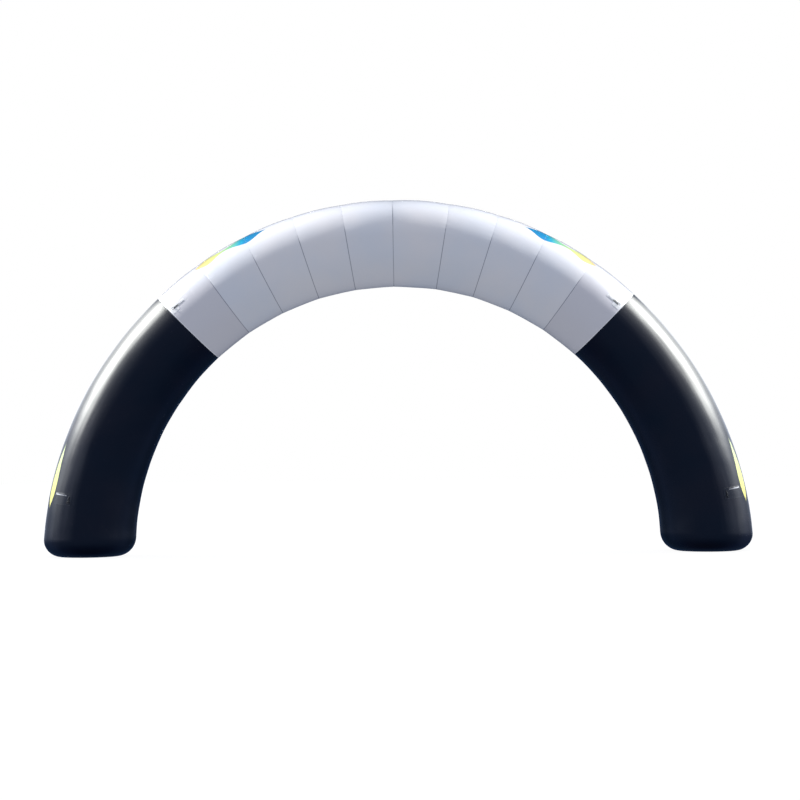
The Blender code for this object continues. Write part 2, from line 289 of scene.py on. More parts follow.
def seamLines(tree, base):
    # painted shade: a dark line along each seam where its groove would lie in shade, on the tube's sides and
    # underside, fading out on the sunlit top
    along, side = archPlace(tree)
    seam = addNode(tree, "ShaderNodeAttribute", attribute_name="fromSeam").outputs["Fac"]
    line = fade(tree, seam, 0.2 * seamShade["half"], seamShade["half"], 1.0, 0.0)
    shadeShare = fade(tree, side, *seamShade["side"], *seamShade["sideShare"])
    crown = colourRamp(tree, side, [(at, (share,) * 3) for at, share in seamShade["crown"]])
    shadeShare = blendColours(tree, fade(tree, along, *seamShade["crownReach"]), crown, shadeShare)
    # beside the black legs no seam shade is painted, and the turned-over hem is a light band
    last = archForm["seams"][-1] / 90.0
    besideLegs = fade(tree, along, *(last - reach for reach in seamShade["hemReach"]))
    shadeShare = sums(tree, "MULTIPLY", shadeShare, sums(tree, "SUBTRACT", 1.0, besideLegs))
    base = blendColours(tree, sums(tree, "MULTIPLY", line, shadeShare), base, linear(seamShade["colour"]))
    hem = sums(tree, "MULTIPLY", fade(tree, seam, *seamShade["hem"], 1.0, 0.0), besideLegs)
    return blendColours(tree, hem, base, linear(seamShade["hemColour"]))


def coatedPolyester(name, kind):
    # polyester cloth with a calendered PVC coat: a satin skin under clear lacquer on the white, which
    # keeps a soft sky on its shoulders, and a wet gloss on the black
    finish = clothFinish[kind]
    material, tree, shader = startMaterial(name, finish)
    around = addNode(tree, "ShaderNodeAttribute", attribute_name="wrapPlace").outputs["Vector"]
    cloudy = addNode(tree, "ShaderNodeTexNoise", {"Vector": around, "Scale": 1.3, "Detail": 3.0})
    cloudy = cloudy.outputs["Fac"]
    mottle = fade(tree, cloudy, 0.25, 0.75)
    base = blendColours(tree, mottle, *(linear(colour) for colour in finish["mottle"]))
    if kind == "white":
        base = greyShadeAndLacquer(tree, shader, base)
    mask, colour = ribbonPrint(tree, kind)
    base = blendColours(tree, mask, base, colour)
    if kind == "white":
        base = seamLines(tree, base)
    tree.links.new(base, shader.inputs["Base Color"])
    rough = fade(tree, cloudy, 0.3, 0.7, finish["Roughness"] - clothFinish["uneven"],
                 finish["Roughness"] + clothFinish["uneven"])
    tree.links.new(rough, shader.inputs["Roughness"])
    perUnit = (archForm["meanLine"] * math.pi / 2.0, archForm["meanTube"] * math.pi, 0.0)
    weaveBump(tree, shader, perUnit)
    return material


def wovenWebbing(name, finish):
    # polypropylene or polyester webbing: matt, with a herringbone of fat threads that catches the light
    material, tree, shader = startMaterial(name, finish)
    place = addNode(tree, "ShaderNodeUVMap", uv_map="arch").outputs["UV"]
    split = addNode(tree, "ShaderNodeSeparateXYZ", {"Vector": place})
    along = sums(tree, "MULTIPLY", split.outputs["X"], math.tau / finish["rib"])
    fold = sums(tree, "PINGPONG", split.outputs["Y"], 2.0 * finish["rib"])
    across = sums(tree, "MULTIPLY", fold, math.tau / finish["rib"])
    height = sums(tree, "SINE", sums(tree, "ADD", along, across))
    shade = fade(tree, height, -1.0, 1.0)
    base = blendColours(tree, shade, linear(finish["low"]), linear(finish["colour"]))
    if "endTone" in finish:
        # another colour towards one end; folded webbing has both its ends there. On the lower tape the pale
        # colour and its darkening towards the far end are a painted highlight
        endTone = finish["endTone"]
        gone = sums(tree, "PINGPONG", split.outputs["X"], endTone["length"])
        base = blendColours(tree, fade(tree, gone, *endTone["ends"]), base, linear(endTone["colour"]))
    tree.links.new(base, shader.inputs["Base Color"])
    bump = addNode(tree, "ShaderNodeBump", {"Strength": 0.7, "Distance": 0.0003, "Height": height})
    tree.links.new(bump.outputs["Normal"], shader.inputs["Normal"])
    return material


def patchCloth(name, finish):
    # a second layer of the coated cloth, heat pressed: smoother and a little lighter than the tube
    material, tree, shader = startMaterial(name, finish)
    place = addNode(tree, "ShaderNodeTexCoord").outputs["Object"]
    grain = addNode(tree, "ShaderNodeTexNoise", {"Vector": place, "Scale": 60.0, "Detail": 4.0})
    base = blendColours(tree, grain.outputs["Fac"], linear(finish["low"]), linear(finish["colour"]))
    tree.links.new(base, shader.inputs["Base Color"])
    weaveBump(tree, shader, (1.0, 1.0, 0.0))
    return material


def platedWire(name, finish):
    # zinc plated steel wire: grey, softly brushed, with faint blotches where the plating varies
    material, tree, shader = startMaterial(name, finish)
    place = addNode(tree, "ShaderNodeTexCoord").outputs["Object"]
    blotch = addNode(tree, "ShaderNodeTexNoise", {"Vector": place, "Scale": 220.0, "Detail": 5.0})
    base = blendColours(tree, blotch.outputs["Fac"], linear(finish["low"]), linear(finish["colour"]))
    tree.links.new(base, shader.inputs["Base Color"])
    rough = fade(tree, blotch.outputs["Fac"], 0.3, 0.7,
                 finish["Roughness"] - 0.06, finish["Roughness"] + 0.08)
    tree.links.new(rough, shader.inputs["Roughness"])
    return material


def sewingThread(name, finish):
    # bonded polyester thread: a soft sheen along its twist
    material, tree, shader = startMaterial(name, finish)
    place = addNode(tree, "ShaderNodeTexCoord").outputs["Object"]
    twist = addNode(tree, "ShaderNodeTexWave", {"Vector": place, "Scale": 900.0},
                    bands_direction="DIAGONAL")
    base = blendColours(tree, twist.outputs["Fac"], linear(finish["low"]), linear(finish["colour"]))
    tree.links.new(base, shader.inputs["Base Color"])
    return material


materials = {
    "whiteCloth": coatedPolyester("pvc_coated_polyester_white", "white"),
    "blackCloth": coatedPolyester("pvc_coated_polyester_black", "black"),
    # the upper strap: grey by the ring, paler towards its sewn end
    "greyWebbing": wovenWebbing("polypropylene_webbing_grey_pale_end", {
        "colour": "#868787", "low": "#58595A", "Roughness": 0.75, "rib": 0.0024, "Sheen Weight": 0.1,
        "endTone": {"colour": "#D6D7DA", "ends": (0.105, 0.065), "length": 0.175}}),
    "blackWebbing": wovenWebbing("polypropylene_webbing_black", {
        "colour": "#17181B", "low": "#0C0D0F", "Roughness": 0.7, "rib": 0.0024, "Sheen Weight": 0.05}),
    # the lower tape: pale, painted darker along its length, a painted highlight
    "tapePaintedHighlight": wovenWebbing("polyester_tape_grey", {
        "colour": "#D6D8DC", "low": "#A8AAB0", "Roughness": 0.7, "rib": 0.002, "Sheen Weight": 0.15,
        "endTone": {"colour": "#55585F", "ends": (0.03, 0.20), "length": 1.0}}),
    "whitePatch": patchCloth("pressed_pvc_patch_white", {
        "colour": "#F4F5F6", "low": "#ECEDEF", "Roughness": 0.4}),
    "blackPatch": patchCloth("pressed_pvc_patch_black", {
        "colour": "#0B0D12", "low": "#08090D", "Roughness": 0.2}),
    "wire": platedWire("zinc_plated_steel_wire", {
        "colour": "#7A7B7E", "low": "#56575A", "Roughness": 0.36, "Metallic": 1.0}),
    # a darker steel for the lower rings
    "dullWire": platedWire("dark_steel_wire", {
        "colour": "#2E2F32", "low": "#1E1F21", "Roughness": 0.5, "Metallic": 1.0}),
    "whiteThread": sewingThread("bonded_polyester_thread_white", {
        "colour": "#D8DADF", "low": "#BFC2CA", "Roughness": 0.55}),
    "blackThread": sewingThread("bonded_polyester_thread_black", {
        "colour": "#0C0D10", "low": "#08090B", "Roughness": 0.5}),
}
print("materials:", len(materials))


def newTree(name, inputs):
    # a Geometry Nodes tree with named inputs: (name, socket kind, default)
    tree = bpy.data.node_groups.new(name, "GeometryNodeTree")
    tree.interface.new_socket("Geometry", in_out="INPUT", socket_type="NodeSocketGeometry")
    tree.interface.new_socket("Geometry", in_out="OUTPUT", socket_type="NodeSocketGeometry")
    for label, kind, default in inputs:
        socket = tree.interface.new_socket(label, in_out="INPUT", socket_type=kind)
        if default is not None:
            socket.default_value = default
    return tree, tree.nodes.new("NodeGroupInput").outputs, tree.nodes.new("NodeGroupOutput")


def throughTree(piece, tree, values):
    # run the piece through the tree and keep the result as its plain mesh
    modifier = piece.modifiers.new(tree.name, "NODES")
    modifier.node_group = tree
    for item in tree.interface.items_tree:
        if item.item_type == "SOCKET" and item.in_out == "INPUT" and item.name in values:
            modifier[item.identifier] = values[item.name]
    bpy.context.view_layer.update()
    seen = piece.evaluated_get(bpy.context.evaluated_depsgraph_get())
    mesh = bpy.data.meshes.new_from_object(seen)
    piece.modifiers.remove(modifier)
    piece.data = mesh
    mesh.name = piece.name
    return piece


def newPiece(name, points, faces, material=None, smooth=True):
    mesh = bpy.data.meshes.new(name)
    mesh.from_pydata([tuple(p) for p in points], [], faces)
    mesh.update()
    if smooth:
        mesh.shade_smooth()
        mesh.set_sharp_from_angle(angle=math.radians(40.0))
    if material:
        mesh.materials.append(material)
    piece = bpy.data.objects.new(name, mesh)
    bpy.context.scene.collection.objects.link(piece)
    return piece


def keepFloats(mesh, name, values, kind="FLOAT"):
    attribute = mesh.attributes.new(name, kind, "POINT")
    field = "vector" if kind == "FLOAT_VECTOR" else "value"
    flat = [x for value in values for x in value] if kind == "FLOAT_VECTOR" else values
    attribute.data.foreach_set(field, flat)


def hand(piece, slot, *nodes):
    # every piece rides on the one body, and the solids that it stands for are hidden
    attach(piece, "root")
    if nodes:
        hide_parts(*nodes)
    return piece


# The cloth's relief: drawn in at each seam, swollen between them, and puckered beside the stitching.
clothRelief = {
    "Draw Depth": 0.0009, "Draw Width": 0.0300,
    "Groove Depth": 0.0005, "Groove Width": 0.0040,
    "Swell": 0.005,
    "Pucker Depth": 0.0011, "Pucker Spacing": 0.045, "Pucker Reach": 0.06,
    "Wave Depth": 0.0022, "Wave Length": 0.55,
    "Fold Depth": 0.0, "Fold Spacing": 0.11, "Fold Stretch": 9.0,
    "Seed": 4.0,
}
legRelief = {**clothRelief, "Draw Depth": 0.0003, "Groove Depth": 0.0001, "Pucker Depth": 0.0004,
             "Fold Depth": 0.0013, "Wave Depth": 0.0034, "Seed": 9.0}
tubeCells = {"around": 320, "along": 0.028}
seamRows = (0.0, 0.0015, 0.003, 0.005, 0.008, 0.012, 0.018, 0.026, 0.036, 0.05, 0.07)


def tautClothTree():
    numbers = [(name, "NodeSocketFloat", value) for name, value in clothRelief.items()]
    tree, given, out = newTree("taut cloth", [*numbers, ("Cloth", "NodeSocketMaterial", None)])

    def floats(name):
        return addNode(tree, "GeometryNodeInputNamedAttribute", {"Name": name}).outputs["Attribute"]

    def vectors(name):
        node = addNode(tree, "GeometryNodeInputNamedAttribute", {"Name": name}, data_type="FLOAT_VECTOR")
        return next(s for s in node.outputs if s.name == "Attribute" and s.enabled)

    def dyingOut(width):
        # 1 at the seam, and e times less for every width from it
        share = sums(tree, "DIVIDE", floats("fromSeam"), width)
        return sums(tree, "EXPONENT", sums(tree, "MULTIPLY", share, -1.0))

    def unevenness(spacing, stretch):
        # noise between -1 and 1 that closes round the tube; stretch lengthens it along the arch
        down = sums(tree, "MULTIPLY", spacing, stretch)
        steps = addNode(tree, "ShaderNodeCombineXYZ", {"X": spacing, "Y": spacing, "Z": down})
        place = addNode(tree, "ShaderNodeVectorMath", {0: vectors("wrapPlace"), 1: steps.outputs[0]},
                        operation="DIVIDE")
        noise = addNode(tree, "ShaderNodeTexNoise", {"Vector": place.outputs[0], "W": given["Seed"],
                        "Scale": 1.0, "Detail": 1.5}, noise_dimensions="4D")
        factor = next(s for s in noise.outputs if s.name in ("Fac", "Factor"))
        return sums(tree, "MULTIPLY_ADD", factor, 4.0, -2.0)

    drawn = sums(tree, "MULTIPLY", dyingOut(given["Draw Width"]), given["Draw Depth"])
    groove = sums(tree, "MULTIPLY", dyingOut(given["Groove Width"]), given["Groove Depth"])
    swell = sums(tree, "MULTIPLY", floats("swellShare"), given["Swell"])
    pucker = sums(tree, "MULTIPLY", dyingOut(given["Pucker Reach"]), given["Pucker Depth"])
    pucker = sums(tree, "MULTIPLY", pucker, unevenness(given["Pucker Spacing"], 3.0))
    wave = sums(tree, "MULTIPLY", unevenness(given["Wave Length"], 1.0), given["Wave Depth"])
    folds = sums(tree, "MULTIPLY", unevenness(given["Fold Spacing"], given["Fold Stretch"]),
                 given["Fold Depth"])
    loose = sums(tree, "ADD", sums(tree, "ADD", pucker, wave), folds)
    loose = sums(tree, "MULTIPLY", loose, floats("free"))
    lift = sums(tree, "SUBTRACT", sums(tree, "ADD", swell, loose), sums(tree, "ADD", drawn, groove))
    shift = addNode(tree, "ShaderNodeVectorMath", {0: vectors("outward"), "Scale": lift}, operation="SCALE")
    moved = addNode(tree, "GeometryNodeSetPosition", {"Geometry": given["Geometry"],
                    "Offset": shift.outputs[0]})
    real = addNode(tree, "GeometryNodeRealizeInstances", {"Geometry": moved.outputs[0]})
    painted = addNode(tree, "GeometryNodeSetMaterial", {"Geometry": real.outputs[0],
                      "Material": given["Cloth"]})
    tree.links.new(painted.outputs[0], out.inputs[0])
    return tree


def tubePiece(name, rows, material, relief):
    # a closed bag of cloth from rows: the angle they stand at, metres from the seam, metres along the
    # arch, shares of the swell and of the free folds, and a point and its outward for each side
    sides = tubeCells["around"]
    points, faces, outward, wrapped = [], [], [], []
    for row in rows:
        points += row["points"]
        outward += row["outward"]
        for i in range(sides):
            turn = math.tau * i / sides
            tube = archForm["meanTube"]
            wrapped.append((tube * math.cos(turn), tube * math.sin(turn), row["along"]))
    for r in range(len(rows) - 1):
        for i in range(sides):
            j = (i + 1) % sides
            faces.append((r * sides + i, r * sides + j, (r + 1) * sides + j, (r + 1) * sides + i))
    faces.append(tuple(range(sides - 1, -1, -1)))
    faces.append(tuple((len(rows) - 1) * sides + i for i in range(sides)))
    if (Vector(points[1]) - Vector(points[0])).cross(Vector(points[sides]) - Vector(points[0])).dot(
            Vector(outward[0])) < 0.0:
        faces = [tuple(reversed(face)) for face in faces]
    piece = newPiece(name, points, faces)
    mesh = piece.data
    for name, key in (("fromSeam", "seam"), ("swellShare", "swell"), ("free", "free")):
        keepFloats(mesh, name, [row[key] for row in rows for _ in range(sides)])
    keepFloats(mesh, "outward", outward, "FLOAT_VECTOR")
    keepFloats(mesh, "wrapPlace", wrapped, "FLOAT_VECTOR")
    layer = mesh.uv_layers.new(name="arch")
    flat = []
    for face in mesh.polygons:
        columns = [v % sides for v in face.vertices]
        crosses = len(columns) == 4 and max(columns) - min(columns) > 2
        for v, column in zip(face.vertices, columns):
            around = 2.0 * column / sides
            if around > 1.0 or (crosses and column == 0 and around == 0.0):
                around -= 2.0
            if crosses and column == 0:
                around = 0.0
            flat += (rows[v // sides]["at"] / 90.0, around)
    layer.data.foreach_set("uv", flat)
    throughTree(piece, tautCloth, {**relief, "Cloth": material})
    return piece


def tubeRow(angle, seam, swell=0.0, free=1.0):
    sides = tubeCells["around"]
    turns = [360.0 * i / sides for i in range(sides)]
    return {
        "at": angle, "seam": seam, "swell": swell, "free": free,
        "along": math.radians(angle) * archForm["meanLine"],
        "points": [clothPoint(angle, turn) for turn in turns],
        "outward": [outwardAt(angle, turn) for turn in turns],
    }


def goreRows(leftSeam, rightSeam):
    # close rows beside both seams and even ones between
    degree = math.degrees(1.0 / sum(tubeAt(0.5 * (leftSeam + rightSeam))))
    width = (rightSeam - leftSeam) / degree - archForm["seamGap"]
    middle = math.ceil((width - 2.0 * seamRows[-1]) / tubeCells["along"])
    spans = list(seamRows)
    spans += [seamRows[-1] + (width - 2.0 * seamRows[-1]) * i / middle for i in range(1, middle)]
    spans += [width - place for place in reversed(seamRows)]
    rows = []
    for place in spans:
        angle = leftSeam + (place + 0.5 * archForm["seamGap"]) * degree
        rows.append(tubeRow(angle, min(place, width - place), math.sin(math.pi * place / width)))
    return rows


footForm = {
    "outerEdge": 0.24, "innerEdge": 0.27, "flare": 0.12, "steps": 14,
    "free": 1.4, "still": 0.02, "loose": 0.22,  # the folds' share, and the heights where it starts and ends
    "clothShare": 1.3,  # cloth in the foot's rounding, over its height
    "seamFar": 9.0,  # no seam here
}


def footRow(side, height, along):
    # a level row of the foot: it rounds in under the tube to a flat base on the ground
    line, tube = tubeAt(90.0)
    drop = archCentre - height
    nearLine, nearTube = tubeAt(89.0)
    metre = math.radians(1.0) * line
    lean, widen = (line - nearLine) / metre, (tube - nearTube) / metre
    ease = drop * math.exp(-drop / footForm["flare"]) if drop > 0.0 else 0.0
    points, outward = [], []
    for i in range(tubeCells["around"]):
        turn = math.tau * i / tubeCells["around"]
        share = 0.5 + 0.5 * math.cos(turn)
        edge = footForm["innerEdge"] + (footForm["outerEdge"] - footForm["innerEdge"]) * share
        below = max(edge - height, 0.0)
        level = math.sqrt(max(edge**2 - below**2, 0.0))
        radius = tube - edge + level + ease * widen * (1.0 - below / edge)
        x = line + ease * lean * (1.0 - below / edge) + radius * math.cos(turn)
        points.append(Vector((side * x, -radius * math.sin(turn), height)))
        flat = level / edge
        outward.append(Vector((side * flat * math.cos(turn), -flat * math.sin(turn), -below / edge)))
    free = min(1.0, max(0.0, (height - footForm["still"]) / (footForm["loose"] - footForm["still"])))
    return {
        "at": side * (90.0 + math.degrees(drop / line)), "seam": footForm["seamFar"], "swell": 0.0,
        "free": footForm["free"] * free, "along": side * along,
        "points": points, "outward": outward,
    }


def legRows(side):
    seam = archForm["seams"][-1]
    degree = math.degrees(1.0 / sum(tubeAt(seam)))
    length = (90.0 - seam) / degree
    spans = list(seamRows)
    steps = math.ceil((length - seamRows[-1]) / tubeCells["along"])
    spans += [seamRows[-1] + (length - seamRows[-1]) * i / steps for i in range(1, steps + 1)]
    rows = []
    for place in spans:
        angle = min(seam + (place + 0.5 * archForm["seamGap"]) * degree, 90.0)
        # the cloth hangs looser towards the foot
        rows.append(tubeRow(side * angle, place, free=0.6 + (footForm["free"] - 0.6) * place / length))
    foot = math.radians(90.0) * archForm["meanLine"]
    for i in range(1, footForm["steps"] + 1):
        height = archCentre * (1.0 - math.sin(0.5 * math.pi * i / footForm["steps"]))
        below = footForm["clothShare"] * archCentre * i / footForm["steps"]
        rows.append(footRow(side, height, foot + below))
    return rows


tautCloth = tautClothTree()
bothSides = (("left", -1), ("right", 1))
clothPieces = {}
for i, (leftSeam, rightSeam) in enumerate(zip(archForm["seams"], archForm["seams"][1:])):
    node = f"gore_{i + 1:02d}"
    gore = tubePiece(f"{node}_cloth", goreRows(leftSeam, rightSeam), materials["whiteCloth"], clothRelief)
    hand(gore, "white_cloth", node)
    clothPieces[node] = gore
print("gores:", len(clothPieces))
for word, side in bothSides:
    node = f"leg_{word}"
    leg = tubePiece(f"{node}_cloth", legRows(side), materials["blackCloth"], legRelief)
    hand(leg, "black_cloth", node)
    clothPieces[node] = leg
print("legs: 2")


def clothSurface():
    points, faces = [], []
    for piece in clothPieces.values():
        start = len(points)
        points += [v.co.copy() for v in piece.data.vertices]
        faces += [tuple(start + v for v in face.vertices) for face in piece.data.polygons
                  if len(face.vertices) == 4]
    return BVHTree.FromPolygons(points, faces)


clothTree = clothSurface()


def onCloth(angle, around, lift=0.0):
    # the point of the finished cloth straight under a place on the plain tube, lifted off it
    outward = outwardAt(angle, around)
    hit = clothTree.ray_cast(clothPoint(angle, around, 0.05), -outward, 0.12)[0]
    return (hit or clothPoint(angle, around)) + lift * outward


# Tie-downs: a pressed patch, a folded webbing strap and a D-ring. Along runs down the tube, across round it.
webbing = {"width": 0.025, "thick": 0.0018, "boxNear": 0.016, "boxFar": 0.056, "boxInset": 0.003}
patchForm = {"thick": 0.0015, "hem": 0.011, "hemThick": 0.0006, "hemStep": 0.0015, "cell": 0.0065,
             "round": 0.018, "stitchInset": 0.0085}
clearance = 0.0003
ringForm = {"wire": 0.003, "half": 0.016, "bulge": 1.15, "reach": 0.036, "tilt": 25.0,
            "barGap": 0.0008, "sides": 12, "steps": 48}
eyeForm = {"radius": 0.0036, "steps": 24, "neck": 2.2, "turn": (-129.6, 144.0)}
tieDowns = {
    "upper": {
        "down": 43.95, "around": 62.8, "strap": 0.165, "webbing": "greyWebbing", "ring": "wire",
        "cloth": ("white_cloth", "whitePatch", "whiteThread"),
        # blocks of the outline: from, to along and from, to across
        "blocks": ((-0.190, -0.050, -0.0235, 0.0235), (-0.058, 0.064, -0.072, 0.072)),
    },
    "lower": {
        "down": 83.48, "around": 65.0, "strap": 0.070, "webbing": "blackWebbing", "ring": "dullWire",
        "cloth": ("black_cloth", "blackPatch", "blackThread"),
        "blocks": ((-0.106, 0.058, -0.276, 0.052),),
    },
}
tapeForm = {"width": 0.018, "ends": ((-0.086, -0.262), (-0.080, -0.044)), "steps": 40,
            "stitchInset": 0.0025, "stitchEnd": 0.004}
crownTab = {"down": 40.4, "around": -5.0, "length": 0.034, "width": 0.024, "bend": 0.0011}
# The sewing, for the stitch rows' inputs
fineStitch = {"Pitch": 0.0045, "Length": 0.0036, "Thickness": 0.0009}
seamStitch = {"Pitch": 0.010, "Length": 0.0066, "Thickness": 0.0012}
seamSewing = {"off": 0.0055, "lift": 0.0002, "steps": 240}


def tiePlace(tie, side, face, along, across, lift):
    line, tube = tubeAt(tie["down"])
    reach = line + tube * math.cos(math.radians(tie["around"]))
    angle = tie["down"] + math.degrees(along / reach)
    around = tie["around"] + math.degrees(across / tube)
    return onCloth(side * angle, face * around, lift + clearance)


def blockEdges(blocks, along, round_):
    # the outline's edges across at one place along, with rounded corners
    edges = []
    for start, end, low, high in blocks:
        if start <= along <= end:
            into = min(along - start, end - along, round_)
            cut = round_ - math.sqrt(round_**2 - (round_ - into)**2)
            edges.append((low + cut, high - cut))
    return min(low for low, _ in edges), max(high for _, high in edges)


def ladder(low, high, cell, fine, reach):
    # places from low to high: close steps within reach of either end
    near = [low + reach * (i / fine) ** 2 for i in range(fine)]
    far = [high - reach * (i / fine) ** 2 for i in reversed(range(fine))]
    count = math.ceil((high - low - 2.0 * reach) / cell)
    between = [low + reach + (high - low - 2.0 * reach) * i / count for i in range(count + 1)]
    return near + between + far


def closedSheet(name, rows, uvRows, material):
    # a closed bag from rows of equal point counts that run over the top and back underneath
    count = len(rows[0])
    points = [point for row in rows for point in row]
    places = [place for row in uvRows for place in row]
    faces = []
    for r in range(len(rows) - 1):
        for i in range(count):
            j = (i + 1) % count
            faces.append((r * count + i, r * count + j, (r + 1) * count + j, (r + 1) * count + i))
    for base in (0, (len(rows) - 1) * count):
        for i in range(count // 2 - 1):
            cell = (base + i, base + i + 1, base + count - 2 - i, base + count - 1 - i)
            faces.append(cell if base == 0 else tuple(reversed(cell)))
    middle = sum((Vector(p) for p in points), Vector()) / len(points)
    spread = 0.0
    for face in faces:
        a, b, c = (Vector(points[v]) - middle for v in face[:3])
        spread += a.dot(b.cross(c))
        if len(face) == 4:
            d = Vector(points[face[3]]) - middle
            spread += a.dot(c.cross(d))
    if spread < 0.0:
        faces = [tuple(reversed(face)) for face in faces]
    piece = newPiece(name, points, faces, material)
    layer = piece.data.uv_layers.new(name="arch")
    flat = [x for face in piece.data.polygons for v in face.vertices for x in places[v]]
    layer.data.foreach_set("uv", flat)
    return piece


def makePatch(name, tie, side, face, material):
    thick, hem = patchForm["thick"], patchForm["hem"]
    start = min(block[0] for block in tie["blocks"])
    end = max(block[1] for block in tie["blocks"])
    places = set()
    for block in tie["blocks"]:
        places.update(ladder(block[0], block[1], patchForm["cell"], 6, patchForm["round"]))
    places = sorted(p for p in places if start <= p <= end)
    widest = max(block[3] - block[2] for block in tie["blocks"])
    cells = 2 * math.ceil(0.5 * widest / patchForm["cell"])
    rows, uvRows = [], []
    for along in places:
        low, high = blockEdges(tie["blocks"], along, patchForm["round"])
        toEnd = min(along - start, end - along)
        shares = [0.5 - 0.5 * math.cos(math.pi * i / cells) * (1.0 - 0.25 * math.sin(math.pi * i / cells))
                  for i in range(cells + 1)]
        across = [low + (high - low) * share for share in shares]
        over = []
        for place in across:
            rim = min(place - low, high - place, toEnd)
            edge = 1.0 - (1.0 - min(rim / thick, 1.0)) ** 2
            folded = patchForm["hemThick"] * max(0.0, min(1.0, (hem - rim) / patchForm["hemStep"]))
            over.append(max(0.0, (thick + folded) * edge))
        rows.append([tiePlace(tie, side, face, along, w, 0.0) for w in across]
                    + [tiePlace(tie, side, face, along, w, up) for w, up in
                       reversed(list(zip(across, over)))])
        uvRows.append([(along, w) for w in across] + [(along, w) for w in reversed(across)])
    return closedSheet(name, rows, uvRows, material)


def strapLine(tie):
    # the folded webbing's middle line as (along, lift): down the patch, round the ring's bar and back
    thick = webbing["thick"]
    bar = barLift()
    turn = eyeForm["radius"] + 0.5 * thick
    low = patchForm["thick"] + patchForm["hemThick"] + clearance + 0.5 * thick
    high = low + thick + clearance
    neck = -eyeForm["neck"] * turn
    steps = math.ceil(tie["strap"] / 0.006)
    flat = [-tie["strap"] + (tie["strap"] + neck) * i / steps for i in range(steps + 1)]
    first, last = (math.radians(angle) for angle in eyeForm["turn"])
    eye = []
    for i in range(eyeForm["steps"]):
        angle = first + (last - first) * i / (eyeForm["steps"] - 1)
        eye.append((turn * math.cos(angle), bar + turn * math.sin(angle)))
    return [(a, low) for a in flat] + eye + [(a, high) for a in reversed(flat)]


def barLift():
    return patchForm["thick"] + clearance + webbing["thick"] + eyeForm["radius"] + ringForm["barGap"]


def sweptBand(name, line, width, place, material):
    # webbing of one width and rounded edges swept along (along, lift) places
    thick = webbing["thick"]
    straight = 0.5 * (width - thick)
    path = [Vector(point) for point in line]
    profile = []
    for turn in (-90.0, -45.0, 0.0, 45.0, 90.0):
        spin = math.radians(turn)
        profile.append((straight + 0.5 * thick * math.cos(spin), 0.5 * thick * math.sin(spin)))
    flat = [(share * straight, 0.5 * thick) for share in (0.8, 0.4, 0.0, -0.4, -0.8)]
    over = profile + flat
    loop = over + [(-w, -h) for w, h in over]
    rows, uvRows, gone = [], [], 0.0
    for i, point in enumerate(path):
        before = (point - path[i - 1]).normalized() if i else Vector((0.0, 0.0))
        after = (path[i + 1] - point).normalized() if i + 1 < len(path) else Vector((0.0, 0.0))
        heading = (before + after).normalized()
        out = Vector((-heading.y, heading.x))
        gone += (point - path[i - 1]).length if i else 0.0
        rows.append([place((point + h * out).x, w, (point + h * out).y) for w, h in loop])
        uvRows.append([(gone, w) for w, _ in loop])
    return closedSheet(name, rows, uvRows, material)


def ringLine():
    # a D: the bar lies across the strap, the bow reaches past its end, and bends join them
    half, bulge, reach = ringForm["half"], ringForm["bulge"], ringForm["reach"]
    points = [(0.0, half * s) for s in (-0.9, -0.6, -0.3, 0.0, 0.3, 0.6, 0.9)]
    for i in range(ringForm["steps"] + 1):
        angle = math.pi * i / ringForm["steps"]
        points.append((reach * math.sin(angle), half * bulge * math.cos(angle)))
    return points


def makeRing(name, tie, side, face, material):
    tilt = math.radians(ringForm["tilt"])
    path = [Vector((along, across, 0.0)) for along, across in ringLine()]
    for _ in range(2):
        smooth = [(path[i - 1] + 2.0 * p + path[(i + 1) % len(path)]) / 4.0 for i, p in enumerate(path)]
        path = [p if abs(p.x) < 1e-6 and abs(p.y) < 0.7 * ringForm["half"] else s
                for p, s in zip(path, smooth)]
    base, above, below, before, past = (
        tiePlace(tie, side, face, along, across, 0.0)
        for along, across in ((0.0, 0.0), (-0.05, 0.0), (0.05, 0.0), (0.0, -0.02), (0.0, 0.02))
    )
    down = (below - above).normalized()
    round_ = past - before
    up = outwardAt(side * tie["down"], face * tie["around"])
    up = (up - up.dot(down) * down).normalized()
    round_ = (round_ - round_.dot(down) * down - round_.dot(up) * up).normalized()
    points, faces = [], []
    count, spokes = len(path), ringForm["sides"]
    for i, point in enumerate(path):
        arriving = (point - path[i - 1]).normalized()
        heading = (arriving + (path[(i + 1) % count] - point).normalized()).normalized()
        out = heading.cross(Vector((0.0, 0.0, 1.0)))
        for k in range(spokes):
            angle = math.tau * k / spokes
            spot = point + ringForm["wire"] * (out * math.cos(angle) + Vector((0.0, 0.0, math.sin(angle))))
            along = spot.x * math.cos(tilt) - spot.z * math.sin(tilt)
            lift = barLift() + spot.x * math.sin(tilt) + spot.z * math.cos(tilt)
            points.append(base + along * down + spot.y * round_ + lift * up)
    for i in range(count):
        for k in range(spokes):
            here, there = i * spokes, (i + 1) % count * spokes
            j = (k + 1) % spokes
            faces.append((here + k, there + k, there + j, here + j))
    a, b, c = points[0], points[spokes], points[1]
    core = sum(points[:spokes], Vector()) / spokes
    if (b - a).cross(c - a).dot(a - core) > 0.0:
        faces = [tuple(reversed(f)) for f in faces]
    return newPiece(name, points, faces, material)


